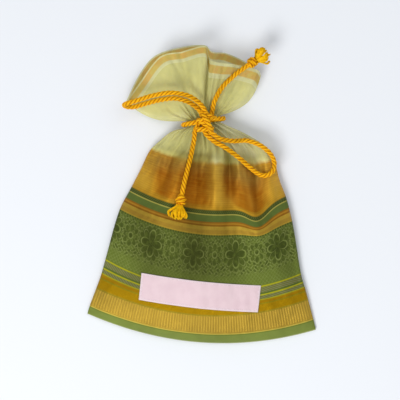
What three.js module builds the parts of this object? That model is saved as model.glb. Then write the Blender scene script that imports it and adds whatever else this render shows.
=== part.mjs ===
// A potli: a small drawstring pouch sewn from two panels of sari cloth, tied shut with a twisted
// cord and lying on its back. Millimetres: X across the pouch, Y from its bottom seam to its mouth,
// Z up from the surface it lies on. Positions along the cloth are lengths from the bottom seam;
// positions across it run from -1 at the left side seam to 1 at the right one.
import * as THREE from "three";

// The cloth
const CLOTH_THICKNESS = 0.8;
const HEM_DEPTH = 12;
const HEM_EDGE = 4;
const HEM_FOLD = 3;
const BELLY_HEIGHT = 28;
const SIDE_SEAM_HEIGHT = 4.6;
const BOTTOM_SEAM_HEIGHT = 1.6;
const BACK_FULLNESS = 1.15; // above 1 the back lies flat on the ground between rounded sides

// The tie
const TIE_AT = 171;
const TIE_BAND = 5;
const TIE_WIDTH = 25;
const TIE_DEPTH = 14;
const TIE_X = 1.9;
const TIE_Y = 52.6;
const TIE_SLOPE = 0.16;
const MOUTH_LENGTH = 57.5; // cloth above the tie

// The cord
const CORD_DIAMETER = 3.5;
const CORD_SIDES = 8;
const CORD_STEP = 2 * CORD_DIAMETER;
const CORD_GAP = 0.3;
const GROUND_GAP = 0.2;

// The blank ribbon sewn to the front
const LABEL_LENGTH = 88;
const LABEL_WIDTH = 20;
const LABEL_THICKNESS = 0.5;
const LABEL_GAP = 0.3;
const LABEL_X = -0.9;
const LABEL_Y = -75.3;
const LABEL_SLOPE = -0.105;
const LABEL_BOW = 1.4;

const COLOURS = {
  leaf: 0x5f7a2f,
  ribbed: 0xc29a2a,
  mustard: 0xb98a12,
  striped: 0x7f8a35,
  brocade: 0x566f2c,
  antique: 0xb9983c,
  twill: 0x5d6b30,
  chevron: 0xc39425,
  tissue: 0xa9741f,
  sheer: 0xc9cb8e,
  hem: 0xd8d9a0,
  hemGold: 0xc8a95a,
  cord: 0xe39a12,
  label: 0xefdfe6,
};

const TIE_TOP = TIE_AT + TIE_BAND / 2;
const TIE_FOOT = TIE_AT - TIE_BAND / 2;
const TIE_MIDDLE = GROUND_GAP + CORD_DIAMETER + CORD_GAP + TIE_DEPTH / 2;
const CLOTH_LENGTH = TIE_TOP + MOUTH_LENGTH;

// The bands woven across the cloth, from the bottom seam to the top hem, and where each one ends
const TISSUE_TOP = 133;
const BANDS = [
  { to: 7.5, colour: COLOURS.leaf },
  { to: 24, colour: COLOURS.ribbed },
  { to: 33.5, colour: COLOURS.mustard },
  { to: 45, colour: COLOURS.striped },
  { to: 83.5, colour: COLOURS.brocade },
  { to: 94.5, colour: COLOURS.antique },
  { to: 103, colour: COLOURS.twill },
  { to: 111, colour: COLOURS.chevron },
  { to: TISSUE_TOP, colour: COLOURS.tissue },
  { to: CLOTH_LENGTH - HEM_DEPTH, colour: COLOURS.sheer },
  { to: CLOTH_LENGTH - HEM_DEPTH + HEM_FOLD, colour: COLOURS.hem },
  { to: CLOTH_LENGTH - HEM_EDGE, colour: COLOURS.hemGold },
  { to: CLOTH_LENGTH, colour: COLOURS.hem },
];

const mix = (a, b, t) => a + (b - a) * t;
const bump = (t) => Math.exp(-t * t);
const smooth = (from, to, value) => THREE.MathUtils.smoothstep(value, from, to);

// A smooth curve through the values that a list of rows has under one key
function through(rows, along, key, at) {
  const last = rows.length - 1;
  const found = rows.findIndex((row) => at <= row[along]);
  const i = Math.min(Math.max(found === -1 ? last : found, 1), last);
  const slope = (k) => {
    const [p, q] = [rows[Math.max(k - 1, 0)], rows[Math.min(k + 1, last)]];
    return (q[key] - p[key]) / (q[along] - p[along]);
  };
  const [p, q] = [rows[i - 1], rows[i]];
  const span = q[along] - p[along];
  const t = Math.min(1, Math.max(0, (at - p[along]) / span));
  const [t2, t3] = [t * t, t * t * t];
  return (
    (2 * t3 - 3 * t2 + 1) * p[key] +
    (t3 - 2 * t2 + t) * span * slope(i - 1) +
    (3 * t2 - 2 * t3) * q[key] +
    (t3 - t2) * span * slope(i)
  );
}

// A point of the gathered cloth inside the tie, which slopes a little across the pouch
const tiePoint = (a, v) => ({
  x: TIE_X + (TIE_WIDTH / 2) * a,
  y: TIE_Y + v - TIE_AT + TIE_SLOPE * (TIE_WIDTH / 2) * a,
});
const [TIE_LEFT, TIE_RIGHT] = [tiePoint(-1, TIE_FOOT), tiePoint(1, TIE_FOOT)];

// Where the side seams lie below the tie, and how far the woven lines sag between them
const SEAMS = [
  { v: 0, lx: -85, ly: -90.6, rx: 86, ry: -102.6, sag: 15.6 },
  { v: 7.5, lx: -83.4, ly: -85, rx: 84.2, ry: -95.2, sag: 15.2 },
  { v: 24, lx: -78, ly: -70.6, rx: 80, ry: -79.2, sag: 15.2 },
  { v: 33.5, lx: -74.6, ly: -61.2, rx: 77.8, ry: -71.4, sag: 16 },
  { v: 45, lx: -71.4, ly: -49.7, rx: 74.7, ry: -60.4, sag: 16.4 },
  { v: 83.5, lx: -61, ly: -13.4, rx: 68.4, ry: -22.3, sag: 14.4 },
  { v: 103, lx: -52, ly: 4, rx: 63.4, ry: -3, sag: 13.8 },
  { v: 118, lx: -44.6, ly: 18.4, rx: 58.6, ry: 9.6, sag: 10.6 },
  { v: TISSUE_TOP, lx: -38.4, ly: 31, rx: 55, ry: 22.4, sag: 7 },
  { v: 146, lx: -31, ly: 38.2, rx: 49, ry: 33.6, sag: 4 },
  { v: 158, lx: -21.6, ly: 45.4, rx: 33.6, ry: 43.4, sag: 1.6 },
  { v: TIE_FOOT, lx: TIE_LEFT.x, ly: TIE_LEFT.y, rx: TIE_RIGHT.x, ry: TIE_RIGHT.y, sag: 0 },
];

// The mouth above the tie: how its hem lies, on the front panel and on the back one, drawn for a
// mouth of this length
const MOUTH_DRAWN = 57.5;
const LEFT_TIP = { a: -1, x: -56.4, y: 67.4, z: 4 };
const RIGHT_TIP = { a: 1, x: 44.6, y: 87, z: 9 };
const FRONT_HEM = [
  LEFT_TIP,
  { a: -0.8, x: -47.2, y: 79, z: 11 },
  { a: -0.55, x: -31, y: 99.6, z: 18 },
  { a: -0.3, x: -14, y: 104, z: 17 },
  { a: -0.06, x: 3.4, y: 107.4, z: 24.5 },
  { a: 0.02, x: 5.4, y: 101.5, z: 12.5 },
  { a: 0.1, x: 7.4, y: 97, z: 18 },
  { a: 0.5, x: 26, y: 94, z: 21 },
  { a: 0.86, x: 42, y: 90.4, z: 16 },
  RIGHT_TIP,
];
const BACK_HEM = [
  LEFT_TIP,
  { a: -0.78, x: -46.2, y: 88.4, z: 2.4 },
  { a: -0.55, x: -34.6, y: 102.4, z: 0.9 },
  { a: -0.25, x: -14, y: 109, z: 2.6 },
  { a: 0, x: 3, y: 110.4, z: 0.9 },
  { a: 0.12, x: 8, y: 105.6, z: 3.6 },
  { a: 0.35, x: 19, y: 104.4, z: 0.9 },
  { a: 0.7, x: 34.6, y: 97, z: 2.4 },
  RIGHT_TIP,
];

// The side edges of the mouth bow outwards from the straight line between tie and hem
const LEFT_BOW = { x: -1.6, y: -5.2 };
const RIGHT_BOW = { x: 5.4, y: -4.8 };

// Folds that run down from the tie: the place across, their width, their depth and where they end
const GATHERS = 9;
const GATHER_DEPTH = 4.4;
const GATHER_DRIFT = 0.05; // the gathers aren't quite evenly spaced
const FOLD_FADE = 32;
const FRONT_FOLDS = [
  { a: -0.86, width: 0.07, depth: -1.8, end: 96 },
  { a: -0.67, width: 0.07, depth: 5.4, end: 94 },
  { a: -0.5, width: 0.07, depth: -2.6, end: 90 },
  { a: -0.21, width: 0.13, depth: 8, end: 94 },
  { a: 0.08, width: 0.08, depth: -3.6, end: 86 },
  { a: 0.28, width: 0.07, depth: 7, end: 94 },
  { a: 0.68, width: 0.1, depth: 7.4, end: 90 },
  { a: 0.88, width: 0.08, depth: -2.4, end: 88 },
];
const MOUTH_FOLDS = [
  { a: -0.72, width: 0.1, depth: 3.2 },
  { a: -0.36, width: 0.09, depth: 4.2 },
  { a: 0.02, width: 0.05, depth: 6 },
  { a: 0.34, width: 0.1, depth: 4.4 },
  { a: 0.72, width: 0.1, depth: 3.2 },
];

// The loose bulge on the right pulls the woven lines down into a small pocket
const POCKET = { a: 0.62, width: 0.17, v: 102, reach: 19, dip: 8 };

const downFromTie = (v) => Math.max(0, TIE_FOOT - v) / TIE_FOOT;
const upFromTie = (v) => Math.max(0, v - TIE_TOP) / (CLOTH_LENGTH - TIE_TOP);
const sideEdge = (a) => 1 - a ** 6;
const gathered = (a) => {
  const place = a + GATHER_DRIFT * Math.sin(5 * a);
  return 0.5 - 0.5 * Math.cos(Math.PI * GATHERS * place);
};
const tieRound = (a) => (TIE_DEPTH / 2 - CLOTH_THICKNESS) * Math.sqrt(Math.max(0, 1 - a * a));

function planBelow(a, v) {
  const value = (key) => through(SEAMS, "v", key, v);
  const t = (a + 1) / 2;
  const pocket = POCKET.dip * bump((a - POCKET.a) / POCKET.width) * bump((v - POCKET.v) / POCKET.reach);
  return {
    x: mix(value("lx"), value("rx"), t),
    y: mix(value("ly"), value("ry"), t) - value("sag") * (1 - a * a) - pocket,
  };
}

function planAbove(hem, a, v) {
  const up = upFromTie(v);
  const reach = (up * MOUTH_LENGTH) / MOUTH_DRAWN;
  const foot = tiePoint(a, TIE_TOP);
  const bow = a < 0 ? LEFT_BOW : RIGHT_BOW;
  const bowed = a ** 4 * Math.sin(Math.PI * up);
  return {
    x: mix(foot.x, through(hem, "a", "x", a), reach) + bow.x * bowed,
    y: mix(foot.y, through(hem, "a", "y", a), reach) + bow.y * bowed,
  };
}

function plan(hem, a, v) {
  if (v < TIE_FOOT) return planBelow(a, v);
  return v > TIE_TOP ? planAbove(hem, a, v) : tiePoint(a, v);
}

// How the heights change, over shares of the way down from the tie or up to the hem
const SEAM_DROP = 0.17;
const SEAM_RISE = 0.6;
const BELLY_FROM = 0.03;
const BELLY_FULL = 0.5;
const BELLY_ROUNDS_AT = 4.5; // larger values keep the belly full nearer to the bottom seam
const BELLY_ROUNDING = 0.62;
const TIE_DOME = 0.5; // an ellipse across at the tie, and a flatter dome across the belly
const BELLY_DOME = 0.74;
const DOME_FULL = 0.3;
const FRONT_GATHERS = { below: [0.08, 0.34], above: [0.05, 0.5] };
const BACK_GATHERS = { below: [0.04, 0.2], above: [0.05, 0.4] };
const LONG_FOLDS_FROM = 0.2;
const BACK_LIES_FROM = [0.02, 0.3];
const BACK_OPENS = 0.8;
const MOUTH_PUFF = 5;
const fading = ([from, to], share) => 1 - smooth(from, to, share);
const foldSum = (folds, a) => folds.reduce((sum, f) => sum + f.depth * bump((a - f.a) / f.width), 0);

// Height of the side seams; between them it is the level that parts front from back
function seamHeight(a, v) {
  if (v <= TIE_FOOT) {
    const down = downFromTie(v);
    const lying = mix(SIDE_SEAM_HEIGHT, BOTTOM_SEAM_HEIGHT, down ** 3);
    return mix(lying, TIE_MIDDLE, bump(down / SEAM_DROP));
  }
  const tips = mix(LEFT_TIP.z, RIGHT_TIP.z, (a + 1) / 2);
  return mix(TIE_MIDDLE, tips, smooth(0, SEAM_RISE, upFromTie(v)));
}

// How far the front panel rises above the seam level, below the tie and above it
function frontRiseBelow(a, v) {
  const down = downFromTie(v);
  const top = mix(TIE_MIDDLE + TIE_DEPTH / 2, BELLY_HEIGHT, smooth(BELLY_FROM, BELLY_FULL, down));
  const full = top - CLOTH_THICKNESS - seamHeight(a, v);
  const crown = full * (1 - down ** BELLY_ROUNDS_AT) ** BELLY_ROUNDING;
  const dome = Math.max(0, 1 - a * a) ** mix(TIE_DOME, BELLY_DOME, smooth(0, DOME_FULL, down));
  const gathers = GATHER_DEPTH * gathered(a) * fading(FRONT_GATHERS.below, down);
  const long = FRONT_FOLDS.map((f) => ({ ...f, depth: f.depth * smooth(f.end, f.end + FOLD_FADE, v) }));
  const folds = foldSum(long, a) * smooth(0, LONG_FOLDS_FROM, down);
  return Math.max(0, crown * dome - sideEdge(a) * (gathers + folds));
}

function frontRiseAbove(a, v) {
  const up = upFromTie(v);
  const hem = through(FRONT_HEM, "a", "z", a) - seamHeight(a, CLOTH_LENGTH);
  const gathers = GATHER_DEPTH * gathered(a) * fading(FRONT_GATHERS.above, up);
  const folds = foldSum(MOUTH_FOLDS, a) * Math.sin(Math.PI * up);
  const puff = MOUTH_PUFF * Math.sin(Math.PI * up) * (1 - a ** 4);
  const rise = mix(tieRound(a), hem, smooth(0, 1, up)) + puff;
  return Math.max(0, rise - sideEdge(a) * (gathers + folds));
}

const frontRise = (a, v) => (v <= TIE_FOOT ? frontRiseBelow(a, v) : frontRiseAbove(a, v));

// How far the back panel sinks below the seam level; it never goes lower than the ground
function backSink(a, v) {
  const [down, up] = [downFromTie(v), upFromTie(v)];
  const deepest = seamHeight(a, v) - CLOTH_THICKNESS;
  const lying = deepest * Math.min(1, BACK_FULLNESS * (1 - a ** 4));
  const hem = seamHeight(a, CLOTH_LENGTH) - through(BACK_HEM, "a", "z", a);
  const below = mix(tieRound(a), lying, smooth(...BACK_LIES_FROM, down));
  const above = mix(tieRound(a), hem, smooth(0, BACK_OPENS, up));
  const gathers = fading(BACK_GATHERS.below, down) * fading(BACK_GATHERS.above, up);
  const sink = (v <= TIE_FOOT ? below : above) - sideEdge(a) * GATHER_DEPTH * gathered(-a) * gathers;
  return Math.min(deepest, Math.max(0, sink));
}

const frontPoint = (a, v) => ({
  ...plan(FRONT_HEM, a, v),
  z: seamHeight(a, v) + CLOTH_THICKNESS + frontRise(a, v),
});

const backPoint = (a, v) => ({
  ...plan(BACK_HEM, a, v),
  z: seamHeight(a, v) - CLOTH_THICKNESS - backSink(a, v),
});

// Rows of points: one on each band's edge and more in between, closest together by the tie
const ROW_STEP = 6.2;
const CLOSE_ROW_STEP = 3.7;
const CLOSE_TO_TIE = 22;
function rowsOfCloth() {
  const edges = [0, ...BANDS.map((band) => band.to), TIE_FOOT, TIE_TOP].sort((p, q) => p - q);
  const rows = [edges[0]];
  for (let i = 1; i < edges.length; i++) {
    const [from, to] = [edges[i - 1], edges[i]];
    const step = Math.abs((from + to) / 2 - TIE_AT) < CLOSE_TO_TIE ? CLOSE_ROW_STEP : ROW_STEP;
    const parts = Math.max(1, Math.round((to - from) / step));
    for (let k = 1; k <= parts; k++) rows.push(mix(from, to, k / parts));
  }
  return rows;
}

const COLUMNS = 38;
const across = (reach) => Array.from({ length: COLUMNS + 1 }, (_, i) => reach * ((2 * i) / COLUMNS - 1));

// Triangles collected strip by strip, each with the colour of its band
class Surface {
  constructor() {
    this.positions = [];
    this.colours = [];
  }
  triangle(points, colour) {
    const corners = new Set(points.map((p) => `${p.x} ${p.y} ${p.z}`));
    if (corners.size < points.length) return;
    for (const p of points) {
      this.positions.push(p.x, p.y, p.z);
      this.colours.push(colour.r, colour.g, colour.b);
    }
  }
  strip(low, high, colour) {
    for (let i = 0; i + 1 < low.length; i++) {
      this.triangle([low[i], low[i + 1], high[i + 1]], colour);
      this.triangle([low[i], high[i + 1], high[i]], colour);
    }
  }
  geometry() {
    const geometry = new THREE.BufferGeometry();
    geometry.setAttribute("position", new THREE.Float32BufferAttribute(this.positions, 3));
    geometry.setAttribute("color", new THREE.Float32BufferAttribute(this.colours, 3));
    geometry.computeVertexNormals();
    return geometry;
  }
}

function clothColour(v) {
  const band = BANDS.find(({ to }) => v < to) ?? BANDS.at(-1);
  return new THREE.Color(band.colour);
}

function part(name, geometry, material) {
  const mesh = new THREE.Mesh(geometry, new THREE.MeshStandardMaterial({ metalness: 0, ...material }));
  mesh.name = name;
  return mesh;
}

// The mouth's hollow starts a little above the tie and stops short of the side seams
const HOLLOW_FROM = 7;
const HOLLOW_REACH = 0.97;
const HOLLOW_SLIT = 0.3;

function hollowRing(v) {
  const places = across(HOLLOW_REACH);
  const front = places.map((a) => {
    const z = seamHeight(a, v) + Math.max(frontRise(a, v), HOLLOW_SLIT);
    return { ...plan(FRONT_HEM, a, v), z };
  });
  const back = places.map((a) => {
    const z = seamHeight(a, v) - Math.max(backSink(a, v), HOLLOW_SLIT);
    return { ...plan(BACK_HEM, a, v), z };
  });
  for (const end of [0, COLUMNS]) {
    const seam = { ...front[end], z: seamHeight(places[end], v) };
    front[end] = seam;
    back[end] = seam;
  }
  return { front, back };
}

// The tied pouch is one solid below its tie; above it front and back part as the mouth
function bagCloth() {
  const surface = new Surface();
  const rows = rowsOfCloth();
  const ring = ({ front, back }) => [...front, ...[...back].reverse(), front[0]];
  const outside = (v) => ({
    front: across(1).map((a) => frontPoint(a, v)),
    back: across(1).map((a) => backPoint(a, v)),
  });
  for (let k = 0; k + 1 < rows.length; k++) {
    const colour = clothColour((rows[k] + rows[k + 1]) / 2);
    surface.strip(ring(outside(rows[k])), ring(outside(rows[k + 1])), colour);
  }
  const bottom = outside(0);
  surface.strip(bottom.back, bottom.front, clothColour(0));
  const mouth = ring(outside(CLOTH_LENGTH));
  surface.strip(mouth, ring(hollowRing(CLOTH_LENGTH)), clothColour(CLOTH_LENGTH));
  const hollow = rows.filter((v) => v >= TIE_TOP + HOLLOW_FROM);
  for (let k = 0; k + 1 < hollow.length; k++) {
    const colour = clothColour((hollow[k] + hollow[k + 1]) / 2);
    surface.strip(ring(hollowRing(hollow[k + 1])), ring(hollowRing(hollow[k])), colour);
  }
  const foot = hollowRing(hollow[0]);
  surface.strip(foot.front, foot.back, clothColour(hollow[0]));
  return part("bag_cloth", surface.geometry(), { vertexColors: true, roughness: 0.55 });
}

// Height of the front cloth's outer face above a point of the ground, or NaN beside the cloth
const frontGrid = rowsOfCloth().map((v) => across(1).map((a) => frontPoint(a, v)));
function heightOf([p, q, r], x, y) {
  const area = (q.x - p.x) * (r.y - p.y) - (r.x - p.x) * (q.y - p.y);
  const u = ((x - p.x) * (r.y - p.y) - (r.x - p.x) * (y - p.y)) / area;
  const w = ((q.x - p.x) * (y - p.y) - (x - p.x) * (q.y - p.y)) / area;
  return u < 0 || w < 0 || u + w > 1 ? NaN : p.z + u * (q.z - p.z) + w * (r.z - p.z);
}
function clothHeight(x, y) {
  let highest = NaN;
  for (let k = 0; k + 1 < frontGrid.length; k++) {
    for (let i = 0; i < COLUMNS; i++) {
      const [low, high] = [frontGrid[k], frontGrid[k + 1]];
      for (const triangle of [
        [low[i], low[i + 1], high[i + 1]],
        [low[i], high[i + 1], high[i]],
      ]) {
        const z = heightOf(triangle, x, y);
        if (!(highest >= z) && !Number.isNaN(z)) highest = z;
      }
    }
  }
  return highest;
}

// Lowest height at which a ball of some radius rests on the cloth without touching it
const BALL_RINGS = [0.5, 0.9];
const BALL_POINTS = 8;
function restingHeight(x, y, radius) {
  let rest = clothHeight(x, y) + radius;
  for (const share of BALL_RINGS) {
    const reach = share * radius;
    const rise = Math.sqrt(radius ** 2 - reach ** 2);
    for (let i = 0; i < BALL_POINTS; i++) {
      const turn = (2 * Math.PI * i) / BALL_POINTS;
      const z = clothHeight(x + reach * Math.cos(turn), y + reach * Math.sin(turn)) + rise;
      if (!(rest >= z) && !Number.isNaN(z)) rest = z;
    }
  }
  return rest + CORD_GAP;
}

// The bow knot sits in front of the tie, a little to its right
const BOW_KNOT = {
  x: TIE_X + 1.4,
  y: TIE_Y - 2,
  leanX: 0.25,
  length: 15,
  radius: 7,
  flatness: 0.68,
  lift: 1,
};

// Where the cord's pieces run over the cloth: X, Y and the height of the cord above its rest
const LEFT_LOOP = [
  [3.8, 60.4, 3.4],
  [-1.6, 66.4, 5.5],
  [-9.6, 71.4, 8],
  [-22.3, 73, 10],
  [-34.9, 71.6, 11],
  [-43.5, 69.2, 11],
  [-50, 66.6, 10.6],
  [-54.6, 64.4, 9.2],
  [-56.2, 63.2, 7],
  [-54.6, 62.9, 4.2],
  [-50.4, 63.6, 1.6],
  [-44, 65.4, 0.4],
  [-31.6, 68.2, 0],
  [-19.3, 69.4, 0],
  [-9.6, 66.8, 0],
  [-2.8, 62.2, 0],
  [-0.8, 60, 0],
];
const RIGHT_LOOP = [
  [9.4, 42.6, 2.6],
  [14.4, 39.4, 2.2],
  [23, 38, 1.4],
  [34, 38.4, 0.6],
  [43.6, 35, 0.4],
  [51, 28.8, 0.4],
  [54, 21, 0.4],
  [52.4, 15, 0.4],
  [47.4, 12.8, 0.4],
  [38.6, 16.6, 0.4],
  [28.4, 25.2, 0.4],
  [18, 33, 0],
  [10.6, 37, 0],
  [5.4, 41.2, 0],
];
const UPPER_TAIL = [
  [8.2, 59.2, 0],
  [9.6, 66.2, 0],
  [15.3, 76.8, 0],
  [24.5, 86, 0],
  [31, 91, 0],
  [34.2, 93.2, 0],
];
const LOWER_TAIL = [
  [-4.4, 45.4, 0],
  [-5.2, 38.4, 0],
  [-8.2, 23.7, 0],
  [-12.1, 8.1, 0],
  [-14, -1.6, 0],
];

// A stopper knot follows the end of each tail, and frayed yarns follow the knot
const STOPPER_RADIUS = 4;
const STOPPER_LENGTH = 8.4;
const TUFT_LENGTH = 10;
const TUFT_ROOT = 2.6;
const TUFT_FLARE = 5.4;
const TUFT_FLATNESS = 0.45;
const TUFT_LIFT = 0.2;
const UPPER_TUFT_DROOP = 5;

function laidOnCloth(route) {
  const chosen = route.map((point) => new THREE.Vector3(...point));
  const lifted = new THREE.CatmullRomCurve3(chosen, false, "centripetal");
  const points = lifted.getSpacedPoints(Math.round(lifted.getLength() / (CORD_STEP / 2)));
  let last = 0;
  const rests = points.map((p) => {
    const rest = restingHeight(p.x, p.y, CORD_DIAMETER / 2);
    last = Number.isNaN(rest) ? last : rest;
    return last;
  });
  const spanned = rests.map((rest, i) => Math.max(rest, rests[i - 1] ?? rest, rests[i + 1] ?? rest));
  return points.map((p, i) => new THREE.Vector3(p.x, p.y, p.z + spanned[i]));
}

const cordMaterial = { color: COLOURS.cord, roughness: 0.7 };
function cordTube(name, points, step) {
  const path = new THREE.CatmullRomCurve3(points);
  const section = new THREE.Shape(
    Array.from({ length: CORD_SIDES }, (_, i) => {
      const turn = (2 * Math.PI * (i + 0.5)) / CORD_SIDES;
      return new THREE.Vector2(Math.cos(turn), Math.sin(turn)).multiplyScalar(CORD_DIAMETER / 2);
    }),
  );
  const steps = Math.round(path.getLength() / step);
  const geometry = new THREE.ExtrudeGeometry(section, { steps, extrudePath: path, bevelEnabled: false });
  return part(name, geometry, cordMaterial);
}

// The wrap leaves the bow knot, passes around the gathered neck and ends at the knot again
const WRAP_OPENING = 0.92;
const WRAP_STEPS = 20;
function neckWrap() {
  const radius = CORD_DIAMETER / 2;
  const reachX = TIE_WIDTH / 2 + 2 * CORD_GAP + radius;
  const reachZ = TIE_DEPTH / 2 + CORD_GAP + radius;
  const points = Array.from({ length: 2 * WRAP_STEPS + 1 }, (_, i) => {
    const turn = mix(WRAP_OPENING, 2 * Math.PI - WRAP_OPENING, i / (2 * WRAP_STEPS));
    const x = reachX * Math.sin(turn);
    return new THREE.Vector3(TIE_X + x, TIE_Y + TIE_SLOPE * x, TIE_MIDDLE + reachZ * Math.cos(turn));
  });
  const length = new THREE.CatmullRomCurve3(points).getLength();
  return cordTube("cord_neck_wrap", points, length / WRAP_STEPS);
}

// A body turned about its own length, flattened in height: its profile is distance along and radius
const TURNED_SIDES = 12;
function turned(name, profile, flatness, from, direction) {
  const points = profile.map(([along, radius]) => new THREE.Vector2(radius, along));
  const geometry = new THREE.LatheGeometry(points, TURNED_SIDES);
  geometry.scale(1, 1, flatness);
  const side = new THREE.Vector3(0, 0, -1).cross(direction).normalize();
  const upright = side.clone().cross(direction);
  geometry.applyMatrix4(new THREE.Matrix4().makeBasis(side, direction, upright).setPosition(from));
  return part(name, geometry, cordMaterial);
}

// The coils of a knot show as swells along it
const KNOT_GROOVE = 0.12;
const KNOT_POINTS = 12;
function knotProfile(length, radius) {
  const round = (t) => Math.sqrt(Math.sin(Math.PI * t));
  const swell = (t) => radius * (round(t) - KNOT_GROOVE * Math.cos(3 * Math.PI * t) ** 2);
  const inner = Array.from({ length: KNOT_POINTS - 1 }, (_, i) => (i + 1) / KNOT_POINTS);
  return [[0, 0], ...inner.map((t) => [t * length, swell(t)]), [length, 0]];
}

function bowKnot() {
  const direction = new THREE.Vector3(BOW_KNOT.leanX, 1, 0).normalize();
  const rest = restingHeight(BOW_KNOT.x, BOW_KNOT.y, BOW_KNOT.radius * BOW_KNOT.flatness);
  const centre = new THREE.Vector3(BOW_KNOT.x, BOW_KNOT.y, rest + BOW_KNOT.lift);
  const start = centre.addScaledVector(direction, -BOW_KNOT.length / 2);
  const profile = knotProfile(BOW_KNOT.length, BOW_KNOT.radius);
  return turned("cord_bow_knot", profile, BOW_KNOT.flatness, start, direction);
}

const TUFT_PROFILE = [
  [0, 0],
  [0, TUFT_ROOT],
  [TUFT_LENGTH * 0.35, TUFT_ROOT * 1.05],
  [TUFT_LENGTH * 0.75, TUFT_FLARE * 0.8],
  [TUFT_LENGTH, TUFT_FLARE],
  [TUFT_LENGTH, 0],
];

// A tail's stopper knot and tuft run on in its direction and follow the slope of the cloth below them
const TAIL_END_LENGTH = STOPPER_LENGTH + TUFT_LENGTH + CORD_GAP;
function tailParts(tail, route, droop) {
  const points = laidOnCloth(route);
  const end = points.at(-1);
  const heading = end.clone().sub(points.at(-2)).setZ(0).normalize();
  const knotStart = end.clone().addScaledVector(heading, CORD_GAP);
  const restAt = (along) => {
    const place = knotStart.clone().addScaledVector(heading, along);
    const rest = restingHeight(place.x, place.y, STOPPER_RADIUS);
    return Number.isNaN(rest) ? -Infinity : rest;
  };
  knotStart.z = Math.max(end.z, restAt(STOPPER_LENGTH / 2));
  const endHeight = Math.max(knotStart.z - droop, restAt(TAIL_END_LENGTH) + TUFT_LIFT);
  const direction = heading.clone().setZ((endHeight - knotStart.z) / TAIL_END_LENGTH).normalize();
  const tuftStart = knotStart.clone().addScaledVector(direction, STOPPER_LENGTH + CORD_GAP);
  return [
    cordTube(`cord_${tail}_tail`, points, CORD_STEP),
    turned(`${tail}_tail_knot`, knotProfile(STOPPER_LENGTH, STOPPER_RADIUS), 1, knotStart, direction),
    turned(`${tail}_tail_tuft`, TUFT_PROFILE, TUFT_FLATNESS, tuftStart, direction),
  ];
}

// The ribbon lies on the cloth, a little straighter than the woven lines below it
const LABEL_COLUMNS = 24;
const LABEL_ROWS = 4;
function label() {
  const surface = new Surface();
  const colour = new THREE.Color(COLOURS.label);
  const place = (i, j) => {
    const along = LABEL_LENGTH * (i / LABEL_COLUMNS - 0.5);
    const up = LABEL_WIDTH * (j / LABEL_ROWS - 0.5);
    const bow = LABEL_BOW * ((2 * i) / LABEL_COLUMNS - 1) ** 2;
    const x = LABEL_X + along - up * LABEL_SLOPE;
    const y = LABEL_Y + up + along * LABEL_SLOPE + bow;
    return { x, y, z: clothHeight(x, y) + LABEL_GAP };
  };
  const row = (j, rise) =>
    Array.from({ length: LABEL_COLUMNS + 1 }, (_, i) => {
      const p = place(i, j);
      return { ...p, z: p.z + rise };
    });
  const ring = (j) => {
    const top = row(j, LABEL_THICKNESS);
    return [...top, ...row(j, 0).reverse(), top[0]];
  };
  for (let j = 0; j < LABEL_ROWS; j++) surface.strip(ring(j), ring(j + 1), colour);
  surface.strip(row(0, 0), row(0, LABEL_THICKNESS), colour);
  surface.strip(row(LABEL_ROWS, LABEL_THICKNESS), row(LABEL_ROWS, 0), colour);
  return part("label", surface.geometry(), { color: COLOURS.label, roughness: 0.5 });
}

const potli = new THREE.Group();
potli.name = "potli_bag";
potli.add(bagCloth(), label(), neckWrap(), bowKnot());
potli.add(cordTube("cord_left_loop", laidOnCloth(LEFT_LOOP), CORD_STEP));
potli.add(cordTube("cord_right_loop", laidOnCloth(RIGHT_LOOP), CORD_STEP));
potli.add(...tailParts("upper", UPPER_TAIL, UPPER_TUFT_DROOP), ...tailParts("lower", LOWER_TAIL, 0));

// The origin is the middle of the cloth's box, on the surface that the pouch lies on
const clothBox = new THREE.Box3().setFromObject(potli.getObjectByName("bag_cloth"));
const clothMiddle = clothBox.getCenter(new THREE.Vector3());
for (const mesh of potli.children) mesh.geometry.translate(-clothMiddle.x, -clothMiddle.y, -clothBox.min.z);
export default potli;
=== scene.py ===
"""The looks of a potli, a small drawstring pouch of sari cloth lying on its back.

Shapes are worked out in millimetres, with X across the pouch and Y from its bottom seam to its
mouth, and become metres of the shared frame when a mesh is made. A place on the cloth has two
numbers: across, from -1 at the left side seam to 1 at the right one, and along, the length of
cloth from the bottom seam.
"""

import math

import bpy
import numpy as np
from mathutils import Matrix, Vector


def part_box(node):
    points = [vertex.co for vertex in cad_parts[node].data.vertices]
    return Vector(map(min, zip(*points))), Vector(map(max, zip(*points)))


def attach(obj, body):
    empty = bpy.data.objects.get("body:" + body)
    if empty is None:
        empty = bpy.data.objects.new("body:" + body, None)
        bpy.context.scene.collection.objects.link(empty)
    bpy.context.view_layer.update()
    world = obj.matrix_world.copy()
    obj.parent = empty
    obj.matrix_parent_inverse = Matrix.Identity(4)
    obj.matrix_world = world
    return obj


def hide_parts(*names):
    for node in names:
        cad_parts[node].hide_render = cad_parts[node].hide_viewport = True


MM = 0.001

# The cloth, as in the solids
CLOTH_THICKNESS = 0.8
CLOTH_WIDTH = 178
HEM_DEPTH = 12
HEM_EDGE = 2.4
HEM_FOLD = 3.6
BELLY_HEIGHT = 28
SIDE_SEAM_HEIGHT = 4.6
BOTTOM_SEAM_HEIGHT = 1.6
BACK_FULLNESS = 1.15
TIE_AT = 171
TIE_BAND = 5
TIE_WIDTH = 25
TIE_DEPTH = 14
TIE_X = 1.9
TIE_Y = 52.6
TIE_SLOPE = 0.16
MOUTH_LENGTH = 57.5
CORD_DIAMETER = 3.5
CORD_RADIUS = CORD_DIAMETER / 2
CORD_GAP = 0.3
GROUND_GAP = 0.2
TIE_TOP = TIE_AT + TIE_BAND / 2
TIE_FOOT = TIE_AT - TIE_BAND / 2
TIE_MIDDLE = GROUND_GAP + CORD_DIAMETER + CORD_GAP + TIE_DEPTH / 2
CLOTH_LENGTH = TIE_TOP + MOUTH_LENGTH
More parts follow.
